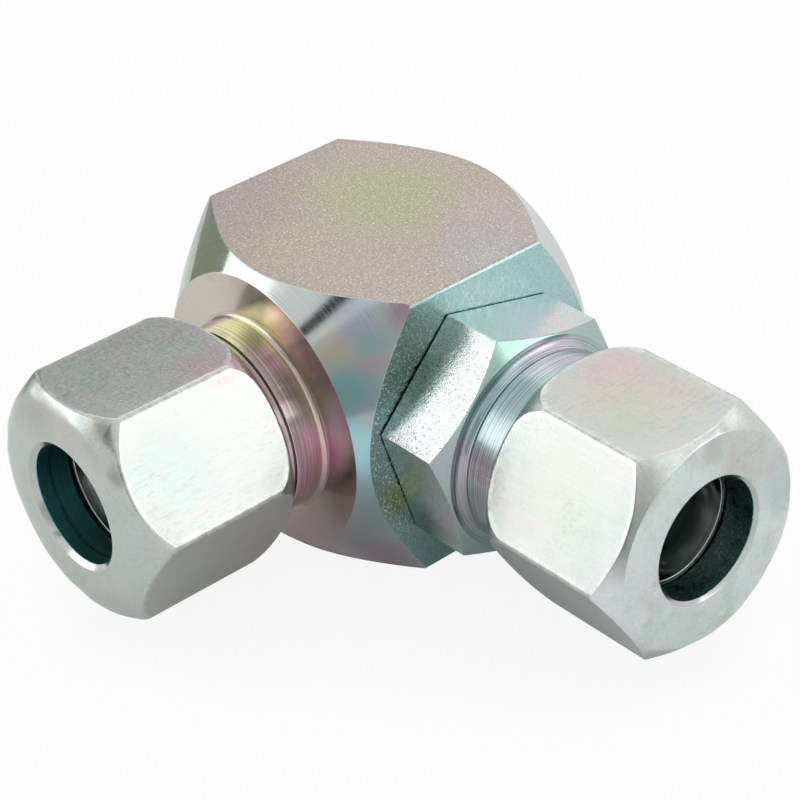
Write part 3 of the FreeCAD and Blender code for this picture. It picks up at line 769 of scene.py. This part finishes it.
def drawn_zinc(name, nut, colour, patches, wear_and_highlight=1.0, painted_shades=()):
    """Smooth drawn and tumbled skin of a nut, with faint stains, hairlines, and worn edges that are
    also painted highlights.

    Painted shades are patches of painted shade that keep to the front chamfer.
    """
    surface = Surface(name)
    tinted = surface.patched(colour, patches)
    for scale, place, share, tint in NUT_STAINS:
        stain = surface.stretch(surface.noise(scale, 4.0, 0.65, place), 0.54, 0.68)
        tinted = surface.mix(surface.maths("MULTIPLY", stain, share, clamp=True), tinted, tint)
    edges, chamfer = nut_wear_and_highlight(surface, nut)
    worn = surface.maths("MULTIPLY", edges, wear_and_highlight)
    # Edges painted lighter, partly as wear and partly as painted highlight
    tinted = surface.mix(worn, tinted, WORN_HIGHLIGHT_COLOUR)
    # Painted shade on the front chamfer, where it mirrors a darker surrounding
    for centre, reach, share, tint in painted_shades:
        near = surface.near(surface.place, centre, reach, share)
        tinted = surface.mix(surface.maths("MULTIPLY", near, chamfer), tinted, tint)
    speck = surface.noise(4200.0, 3.0, 0.7)
    pit = surface.stretch(surface.noise(1500.0, 3.0, 0.6, (0.07, 0.02, 0.05)), 0.68, 0.76)
    lengthwise = tuple(1.0 - 0.94 * abs(c) for c in nut.port.out)
    hairs = surface.noise(4600.0, 2.0, 0.6, (0.01, 0.02, 0.0), lengthwise)
    marks = surface.noise(3200.0, 3.0, 0.7, (0.04, 0.03, 0.02), (1.0, 0.25, 1.0), 0.3)
    scuffed = surface.noise(150.0, 2.0, 0.5, (0.013, 0.021, 0.008))
    scuff = surface.maths("MULTIPLY", surface.stretch(marks, 0.5, 0.68),
                          surface.stretch(scuffed, 0.44, 0.6), clamp=True)
    tone = surface.maths("MULTIPLY", surface.spread(speck, 0.93, 1.07),
                         surface.spread(hairs, 0.98, 1.02))
    tone = surface.maths("MULTIPLY_ADD", pit, -0.22, tone)
    surface.colour(tinted, surface.maths("MULTIPLY_ADD", scuff, -0.13, tone))
    surface.set(Roughness=surface.stretch(speck, 0.35, 0.65, 0.17, 0.25))
    swell = surface.noise(330.0, 2.0, 0.5, (0.03, 0.0, 0.04))
    height = surface.maths("MULTIPLY_ADD", swell, 6.0,
                           surface.maths("MULTIPLY_ADD", hairs, 0.5, speck))
    height = surface.maths("MULTIPLY_ADD", surface.maths("MULTIPLY", worn, speck), 5.0, height)
    surface.bump(height, MARK_HEIGHT, 0.8)
    return surface.material


def plain_metal(name, colour, roughness):
    surface = Surface(name)
    fleck = surface.noise(2500.0, 2.0)
    surface.colour(colour, surface.spread(fleck, 0.85, 1.15))
    surface.set(Roughness=surface.spread(fleck, roughness - 0.04, roughness + 0.06))
    surface.bump(fleck, MARK_HEIGHT, 0.4)
    return surface.material


def soft_plastic(name, colour, roughness, grain):
    surface = Surface(name, metallic=0.0)
    fleck = surface.noise(grain, 3.0)
    surface.colour(colour, surface.spread(fleck, 0.8, 1.2))
    surface.set(Roughness=surface.spread(fleck, roughness - 0.08, roughness + 0.08))
    surface.bump(fleck, 0.00001, 0.5)
    return surface.material


body_flats = blasted_zinc("body_flats", (0.44, 0.39, 0.335), [
    ((-9.5, -5, 26), 9, 0.8, (0.44, 0.365, 0.36)), ((-6.5, 9.5, 26), 8, 0.7, (0.45, 0.38, 0.38)),
    ((-2, 3.5, 26), 10, 0.85, (0.42, 0.43, 0.28)), ((-1, -7, 26), 5, 0.5, (0.46, 0.43, 0.31)),
    ((4, -6, 26), 5, 0.35, (0.48, 0.40, 0.38)), ((9.5, -5, 26), 6, 0.6, (0.46, 0.41, 0.37)),
    ((8, 8, 26), 7, 0.6, (0.47, 0.41, 0.43)), ((11, 2, 26), 5, 0.7, (0.44, 0.43, 0.44)),
], roughness=0.32, glint=0.7)
# The right flat's dark green patch near the collar is painted shade standing for its reflection of
# the collar and nut, its pale cyan patches at the top are painted light, and its glints are painted
# and keep to the dark part.
body_right_flat = blasted_zinc("body_right_flat", (0.34, 0.48, 0.46), [
    ((13, -8.6, 21.8), 8, 0.9, (0.20, 0.30, 0.26)), ((13, -11.5, 15.5), 5, 0.7, (0.31, 0.50, 0.50)),
    ((13, 1, 25), 9, 0.9, (0.45, 0.66, 0.64)), ((13, 9, 22), 8, 0.8, (0.47, 0.66, 0.68)),
    ((13, -7, 2), 6, 0.7, (0.26, 0.46, 0.44)), ((13, -9.5, 9), 2.5, 0.7, (0.46, 0.46, 0.22)),
], glint=2.4, glint_place=((13, -11, 15), 15))
body_turned = turned_zinc("body_turned", "Y", (0.46, 0.51, 0.50), [
    ((-8, -10, 24), 7, 0.9, (0.46, 0.55, 0.33)), ((-12, -12, 17), 7, 0.8, (0.34, 0.51, 0.47)),
    ((2, -12, 25), 6, 0.6, (0.56, 0.58, 0.56)), ((9.2, -11.8, 22.6), 2.6, 0.9, (0.56, 0.50, 0.36)),
    ((8.9, -10, 25), 3, 0.8, (0.40, 0.44, 0.52)), ((12.6, -7, 25.6), 2.4, 0.9, (0.42, 0.30, 0.37)),
    ((11.6, -10.0, 21.8), 2, 0.8, (0.58, 0.38, 0.42)),
    ((10.5, -12, 18.6), 5.4, 0.95, (0.21, 0.42, 0.42)),
    ((12, -12.5, 13.5), 5.5, 0.9, (0.34, 0.62, 0.66)),
    ((12.5, -10.8, 17.5), 2.5, 0.5, (0.48, 0.44, 0.48)),
    ((11.6, -10.0, 23.9), 2.2, 0.8, (0.28, 0.48, 0.46)),
    ((12.5, -11.6, 9), 5, 0.8, (0.26, 0.36, 0.37)), ((10, -12, 4.5), 5, 0.7, (0.34, 0.33, 0.36)),
    ((11, -10, 1.5), 4, 0.8, (0.40, 0.32, 0.38)), ((5, -12, 1), 6, 0.7, (0.62, 0.50, 0.54)),
    ((0, 13, 13), 15, 0.8, (0.44, 0.36, 0.39)),
], roughness=0.12, groove=0.12, contrast=0.08, calm_place=((12.5, -12, 14), 20))
# The ring face's pink and gold spots near the top are painted highlights, and its dark wedges at
# the top and to the right are painted shade, where the face mirrors the nut.
body_ring = turned_zinc("body_ring", "Y", (0.56, 0.50, 0.44), [
    ((-8, -12.7, 20), 9, 0.9, (0.62, 0.58, 0.50)),
    ((0.6, -12.7, 23.4), 4, 0.85, (0.38, 0.36, 0.27)),
    ((7.8, -12.7, 20.3), 5, 0.9, (0.38, 0.28, 0.29)),
    ((3.8, -12.7, 23.0), 2.8, 1.0, (1.0, 0.70, 0.80)),
    ((2.3, -12.7, 21.9), 1.6, 0.45, (0.90, 0.82, 0.46)),
    ((9.8, -12.7, 17.8), 4.5, 0.9, (0.28, 0.27, 0.25)),
    ((10, -12.7, 10), 5, 0.8, (0.40, 0.27, 0.28)),
    ((9.2, -12.7, 13.4), 2.4, 0.9, (0.50, 0.24, 0.40)),
    ((3, -12.7, 2.5), 7, 0.85, (0.78, 0.64, 0.64)),
], roughness=0.17, anisotropic=0.8, groove=0.2, contrast=0.03, lines=6000.0, bands=[
    (4200.0, 0.2, 0.12, (0.48, 0.40, 0.42)),
])
# On the neck, the dark patch at the upper right is painted shade, and the pale pink patch on the
# right is painted light.
body_neck = turned_zinc("body_neck", "Y", (0.50, 0.42, 0.38), [
    ((0.2, -15, 21.4), 4.4, 0.95, (0.62, 0.64, 0.34)),
    ((5.0, -15, 19.8), 5, 0.9, (0.27, 0.19, 0.20)),
    ((8.2, -14.6, 12.5), 5.5, 0.95, (0.86, 0.54, 0.70)), ((4, -14, 4), 6, 0.7, (0.66, 0.48, 0.54)),
], roughness=0.2, anisotropic=0.8, groove=0.12, contrast=0.05, lines=8000.0, bands=[
    (1500.0, 0.0, 0.35, (0.66, 0.58, 0.30)), (6400.0, 0.7, 0.3, (0.24, 0.17, 0.20)),
    (9000.0, 0.3, 0.25, (0.80, 0.80, 0.76)),
])
# The dark patch low on the collar is painted shade.
stem_flats = blasted_zinc("stem_flats", (0.60, 0.66, 0.64), [
    ((13, -7.5, 19), 4.5, 0.8, (0.34, 0.44, 0.40)), ((16.5, 3, 23.5), 6, 0.85, (0.74, 0.66, 0.68)),
    ((15, -9, 6), 5, 0.8, (0.24, 0.28, 0.25)), ((15, -9.5, 14), 5, 0.8, (0.50, 0.55, 0.55)),
], roughness=0.18, glint=-0.8, bumps=0.5, grains=6500.0, glint_place=((16.5, -8.5, 17.5), 13))
stem_face = turned_zinc("stem_face", "X", (0.36, 0.50, 0.46), [
    ((19.8, -4, 24), 5, 0.9, (0.29, 0.47, 0.40)), ((19.8, -10.5, 15), 4, 0.8, (0.40, 0.42, 0.46)),
], roughness=0.15, groove=0.5, lines=7000.0, bands=[
    (6000.0, 0.3, 0.3, (0.55, 0.50, 0.55)),
])
# The pale blue spot high on the neck and the pale blue streak next to the nut are painted
# highlights.
stem_neck = turned_zinc("stem_neck", "X", (0.32, 0.42, 0.39), [
    ((19.1, -5.0, 19.8), 4.5, 0.95, (0.18, 0.32, 0.30)),
    ((22.4, -3.6, 20.6), 3, 0.9, (0.22, 0.36, 0.34)),
    ((20.4, -2.2, 21.2), 1.9, 0.8, (0.46, 0.60, 0.66)),
    ((21, 2, 21.2), 4.5, 0.85, (0.66, 0.54, 0.62)),
    ((22.4, -6.9, 17.8), 1.6, 0.7, (0.48, 0.58, 0.62)),
    ((19.6, -8.0, 15.4), 3.4, 0.85, (0.36, 0.28, 0.36)),
    ((22.5, -8, 14.8), 3, 0.9, (0.60, 0.40, 0.46)), ((20, -8.3, 11), 4, 0.9, (0.34, 0.30, 0.30)),
], roughness=0.2, anisotropic=0.8, groove=1.2, contrast=0.12, lines=8000.0, bands=[
    (5200.0, 0.0, 0.4, (0.24, 0.50, 0.58)), (7000.0, 0.9, 0.3, (0.60, 0.44, 0.56)),
    (8200.0, 0.4, 0.45, (0.14, 0.20, 0.21)), (9800.0, 0.6, 0.3, (0.76, 0.86, 0.88)),
])
# The pink and green patches on the top flat are partly passivation tint and partly painted shade,
# which darkens this nut's top.
left_nut_skin = drawn_zinc("left_nut_skin", LEFT_NUT, (0.49, 0.51, 0.485), [
    ((0, -24, 24), 9, 0.8, (0.49, 0.515, 0.465)), ((4, -20, 23), 4, 0.7, (0.55, 0.42, 0.44)),
    ((-3, -28, 23), 4, 0.6, (0.42, 0.53, 0.45)), ((0, -20, 23), 2.5, 0.5, (0.42, 0.53, 0.46)),
    ((8, -27, 18), 5.5, 0.8, (0.43, 0.485, 0.475)), ((9.5, -31, 14), 4, 0.7, (0.43, 0.46, 0.43)),
])
# The beige, pink and green patches on the top flat are partly passivation tint and partly painted
# light on this nut's top.
right_nut_skin = drawn_zinc("right_nut_skin", RIGHT_NUT, (0.48, 0.52, 0.51), [
    ((31, 0, 24), 9, 0.9, (0.52, 0.48, 0.43)), ((28, 2, 24), 4, 0.7, (0.57, 0.43, 0.44)),
    ((34, -3, 24), 4.5, 0.7, (0.44, 0.49, 0.41)), ((31, -9, 18), 8, 0.9, (0.47, 0.50, 0.45)),
])
# The dark patches along the top rim are painted shade, where the front chamfer mirrors a darker
# surrounding.
left_nut_face = drawn_zinc("left_nut_face", LEFT_NUT, (0.51, 0.57, 0.54), [
    ((-4, -31.5, 21.5), 5, 0.8, (0.38, 0.40, 0.38)), ((5, -31, 21), 3, 0.6, (0.44, 0.43, 0.40)),
    ((-3.6, -31, 22.8), 1.7, 0.95, (0.22, 0.24, 0.21)),
    ((-5.4, -30.6, 22.2), 1.4, 0.7, (0.32, 0.35, 0.30)),
    ((4.9, -30.6, 22.5), 1.5, 0.9, (0.26, 0.28, 0.25)),
    ((7.1, -31.2, 19.8), 1.8, 0.9, (0.27, 0.29, 0.27)),
], wear_and_highlight=0.4)
# The dark spot on the upper rim and the painted shades along the chamfer below it are painted
# shade, where the chamfer mirrors a darker surrounding.
right_nut_face = drawn_zinc("right_nut_face", RIGHT_NUT, (0.68, 0.76, 0.74), [
    ((38, -7.2, 21), 3.2, 0.9, (0.40, 0.43, 0.38)), ((38.5, 5, 21), 7, 0.8, (0.57, 0.60, 0.56)),
    ((38.6, -6, 13), 5, 0.5, (0.70, 0.70, 0.73)), ((38.6, -2, 4), 5, 0.6, (0.62, 0.72, 0.66)),
    ((38, 3.5, 22.9), 2, 0.9, (0.84, 0.90, 0.86)),
    ((38.4, -2.9, 22.6), 1.6, 0.8, (0.84, 0.90, 0.86)),
    ((37.3, -5.5, 3.2), 3.2, 0.95, (0.38, 0.44, 0.44)),
    ((38.8, 9, 15), 4.5, 0.8, (0.53, 0.59, 0.60)),
    ((38.8, 0.2, 21.4), 2.2, 0.85, (0.50, 0.54, 0.52)),
], wear_and_highlight=0.3, painted_shades=[((38.3, -8.3, 18.0), 5.4, 1.0, (0.30, 0.34, 0.32))])
left_nut_bore = turned_zinc("left_nut_bore", "Y", (0.10, 0.36, 0.36), [
    ((1, -29, 8.5), 3, 0.8, (0.30, 0.44, 0.42)),
], roughness=0.3, anisotropic=0.4, groove=0.7, contrast=0.12, bands=[
    (3400.0, 0.2, 0.15, (0.26, 0.44, 0.42)),
])
right_nut_bore = blasted_zinc("right_nut_bore", (0.15, 0.33, 0.31), [
    ((36, 2, 8), 5, 0.7, (0.34, 0.46, 0.44)),
], bumps=0.5, grains=3800.0)


def turned_pair(left_name, right_name, tint, roughness, anisotropic):
    """The same plain turned material for the fixed port's and the swivel port's pieces."""
    return [turned_zinc(name, axis, tint, roughness=roughness, anisotropic=anisotropic)
            for name, axis in ((left_name, "Y"), (right_name, "X"))]


THREAD_TINT, BORE_TINT, RING_TINT = (0.47, 0.48, 0.44), (0.26, 0.33, 0.31), (0.50, 0.53, 0.51)
body_thread, stem_thread = turned_pair("body_thread", "stem_thread", THREAD_TINT, 0.25, 0.3)
body_inside, stem_inside = turned_pair("body_inside", "stem_inside", BORE_TINT, 0.28, 0.5)
left_nut_turned, right_nut_turned = turned_pair("left_nut_turned", "right_nut_turned", RING_TINT,
                                                0.2, 0.5)
ring_left, ring_right = turned_pair("ring_left", "ring_right", RING_TINT, 0.16, 0.5)

# Pieces, with their materials in the order of the zones

elbow = make_elbow_body()
finish_piece(elbow, [body_flats, body_turned, body_neck, body_thread, body_inside,
                     body_right_flat, body_ring], "root", "elbow_body")
stem = make_swivel_stem()
finish_piece(stem, [stem_flats, stem_face, stem_neck, stem_thread, stem_inside],
             "stem", "swivel_stem")
left_nut = make_union_nut("union_nut_left_shell", LEFT_NUT)
finish_piece(left_nut, [left_nut_skin, left_nut_turned, left_nut_face, left_nut_bore,
                        left_nut_bore], "fixed_nut", "union_nut_left")
right_nut = make_union_nut("union_nut_right_shell", RIGHT_NUT)
finish_piece(right_nut, [right_nut_skin, right_nut_turned, right_nut_face, right_nut_bore,
                         right_nut_bore], "swivel_nut", "union_nut_right")
left_ring = make_cutting_ring("cutting_ring_left_shell", FIXED_PORT, BODY_FRONT + RING_TIP)
finish_piece(left_ring, [ring_left], "fixed_ring", "cutting_ring_left")
right_ring = make_cutting_ring("cutting_ring_right_shell", SWIVEL_PORT, COLLAR_FRONT + RING_TIP)
finish_piece(right_ring, [ring_right], "swivel_ring", "cutting_ring_right")

NODE_MATERIALS = {
    "bearing_balls": plain_metal("ball_steel", (0.60, 0.60, 0.61), 0.12),
    "ball_race_plug": plain_metal("plug_steel", (0.42, 0.42, 0.43), 0.3),
    "plug_set_screw": plain_metal("screw_steel", (0.09, 0.09, 0.10), 0.42),
    "stem_seal_ring": soft_plastic("seal_rubber", (0.02, 0.02, 0.02), 0.55, 1800.0),
    "dust_wiper": soft_plastic("wiper_rubber", (0.025, 0.025, 0.025), 0.6, 1500.0),
    "stem_backup_ring": soft_plastic("backup_ptfe", (0.78, 0.78, 0.74), 0.45, 1200.0),
    "tail_guide_ring": soft_plastic("guide_ptfe", (0.70, 0.70, 0.66), 0.5, 1200.0),
}
for node, material in NODE_MATERIALS.items():
    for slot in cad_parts[node].material_slots:
        slot.material = material

# Studio

FLOOR_SIZE = 3.0
FLOOR_DROP = 0.00005
# Share of plain white in the floor that the camera sees. The rest keeps the object's shadow.
FLOOR_WHITE_SHARE = 0.88
WORLD_LIGHT = 0.9
TARGET = Vector((0.006, -0.006, 0.013))


def plate(name, wide, high):
    """Rectangle in its own X and Y."""
    x, y = wide / 2, high / 2
    mesh = bpy.data.meshes.new(name)
    mesh.from_pydata([(-x, -y, 0), (x, -y, 0), (x, y, 0), (-x, y, 0)], [], [(0, 1, 2, 3)])
    return new_object(name, mesh)


def matt(name, grey, roughness):
    material = bpy.data.materials.new(name)
    material.use_nodes = True
    shader = material.node_tree.nodes["Principled BSDF"]
    shader.inputs["Base Color"].default_value = (grey, grey, grey, 1)
    shader.inputs["Roughness"].default_value = roughness
    return material


def show_white(tree, plain, output, kind, share, rays_seen):
    """Blend plain white into what the given rays see of a material or the world."""
    nodes, links = tree.nodes, tree.links
    rays = nodes.new("ShaderNodeLightPath")
    seen = rays.outputs[rays_seen[0]]
    for name in rays_seen[1:]:
        either = nodes.new("ShaderNodeMath")
        either.operation = "MAXIMUM"
        links.new(seen, either.inputs[0])
        links.new(rays.outputs[name], either.inputs[1])
        seen = either.outputs[0]
    part = nodes.new("ShaderNodeMath")
    part.operation = "MULTIPLY"
    part.inputs[1].default_value = share
    links.new(seen, part.inputs[0])
    white = nodes.new(kind)
    white.inputs["Color"].default_value = (1, 1, 1, 1)
    white.inputs["Strength"].default_value = 1.0
    blend = nodes.new("ShaderNodeMixShader")
    links.new(part.outputs[0], blend.inputs[0])
    links.new(nodes[plain].outputs[0], blend.inputs[1])
    links.new(white.outputs[0], blend.inputs[2])
    links.new(blend.outputs[0], nodes[output].inputs["Surface"])


def aim(thing, heading, elevation, distance):
    """Put a lamp or card round the object, at an angle in degrees, facing it."""
    turn, rise = math.radians(heading), math.radians(elevation)
    away = Vector((math.cos(turn) * math.cos(rise), math.sin(turn) * math.cos(rise),
                   math.sin(rise)))
    thing.location = TARGET + away * distance
    thing.rotation_euler = away.to_track_quat("Z", "Y").to_euler()


def soft_box(name, heading, elevation, distance, size, brightness):
    """Rectangular lamp whose own face has the given brightness."""
    light = bpy.data.lights.new(name, "AREA")
    light.shape = "RECTANGLE"
    light.size, light.size_y = size
    light.energy = brightness * math.pi * size[0] * size[1]
    lamp = bpy.data.objects.new(name, light)
    bpy.context.scene.collection.objects.link(lamp)
    aim(lamp, heading, elevation, distance)


def card(name, heading, elevation, distance, size, grey):
    """Card that the metal reflects. The camera itself doesn't see it."""
    panel = plate(name, *size)
    aim(panel, heading, elevation, distance)
    panel.data.materials.append(matt(name, grey, 1.0))
    panel.visible_camera = False


floor = plate("floor", FLOOR_SIZE, FLOOR_SIZE)
floor.location.z = -FLOOR_DROP
floor_material = matt("floor", 0.94, 0.9)
show_white(floor_material.node_tree, "Principled BSDF", "Material Output", "ShaderNodeEmission",
           FLOOR_WHITE_SHARE, ["Is Camera Ray"])
floor.data.materials.append(floor_material)

world = bpy.data.worlds.new("studio")
bpy.context.scene.world = world
world.use_nodes = True
background = world.node_tree.nodes["Background"]
background.inputs["Color"].default_value = (1, 1, 1, 1)
background.inputs["Strength"].default_value = WORLD_LIGHT
show_white(world.node_tree, "Background", "World Output", "ShaderNodeBackground", 1.0,
           ["Is Camera Ray", "Is Glossy Ray", "Is Transmission Ray"])

soft_box("left_box", -142, 19, 0.6, (0.48, 0.42), 1.1)
soft_box("right_box", 34, 18, 0.6, (0.36, 0.28), 1.1)
soft_box("back_box", 143, 47, 0.5, (0.3, 0.16), 0.45)
card("left_card", 186, 4, 0.1, (0.046, 0.05), 0.42)
card("back_card", 160, 25, 0.3, (0.12, 0.11), 0.55)
card("camera_side_card", -58, 13, 0.3, (0.23, 0.24), 0.6)
card("dark_strip", -88.5, 40, 0.4, (0.04, 0.26), 0.02)

# Camera at the photograph's angle
camera_data = bpy.data.cameras.new("camera")
camera_data.sensor_width = 36.0
camera_data.lens = 116.115
camera_data.clip_start = 0.01
camera = bpy.data.objects.new("camera", camera_data)
bpy.context.scene.collection.objects.link(camera)
camera.matrix_world = Matrix((
    (0.65455608, -0.38545177, 0.65037164, 0.1465949),
    (0.75391747, 0.39681276, -0.52359152, -0.1159330),
    (-0.05625649, 0.83304656, 0.55033503, 0.1309405),
    (0, 0, 0, 1),
))
bpy.context.scene.camera = camera
bpy.context.scene.view_settings.view_transform = "Standard"
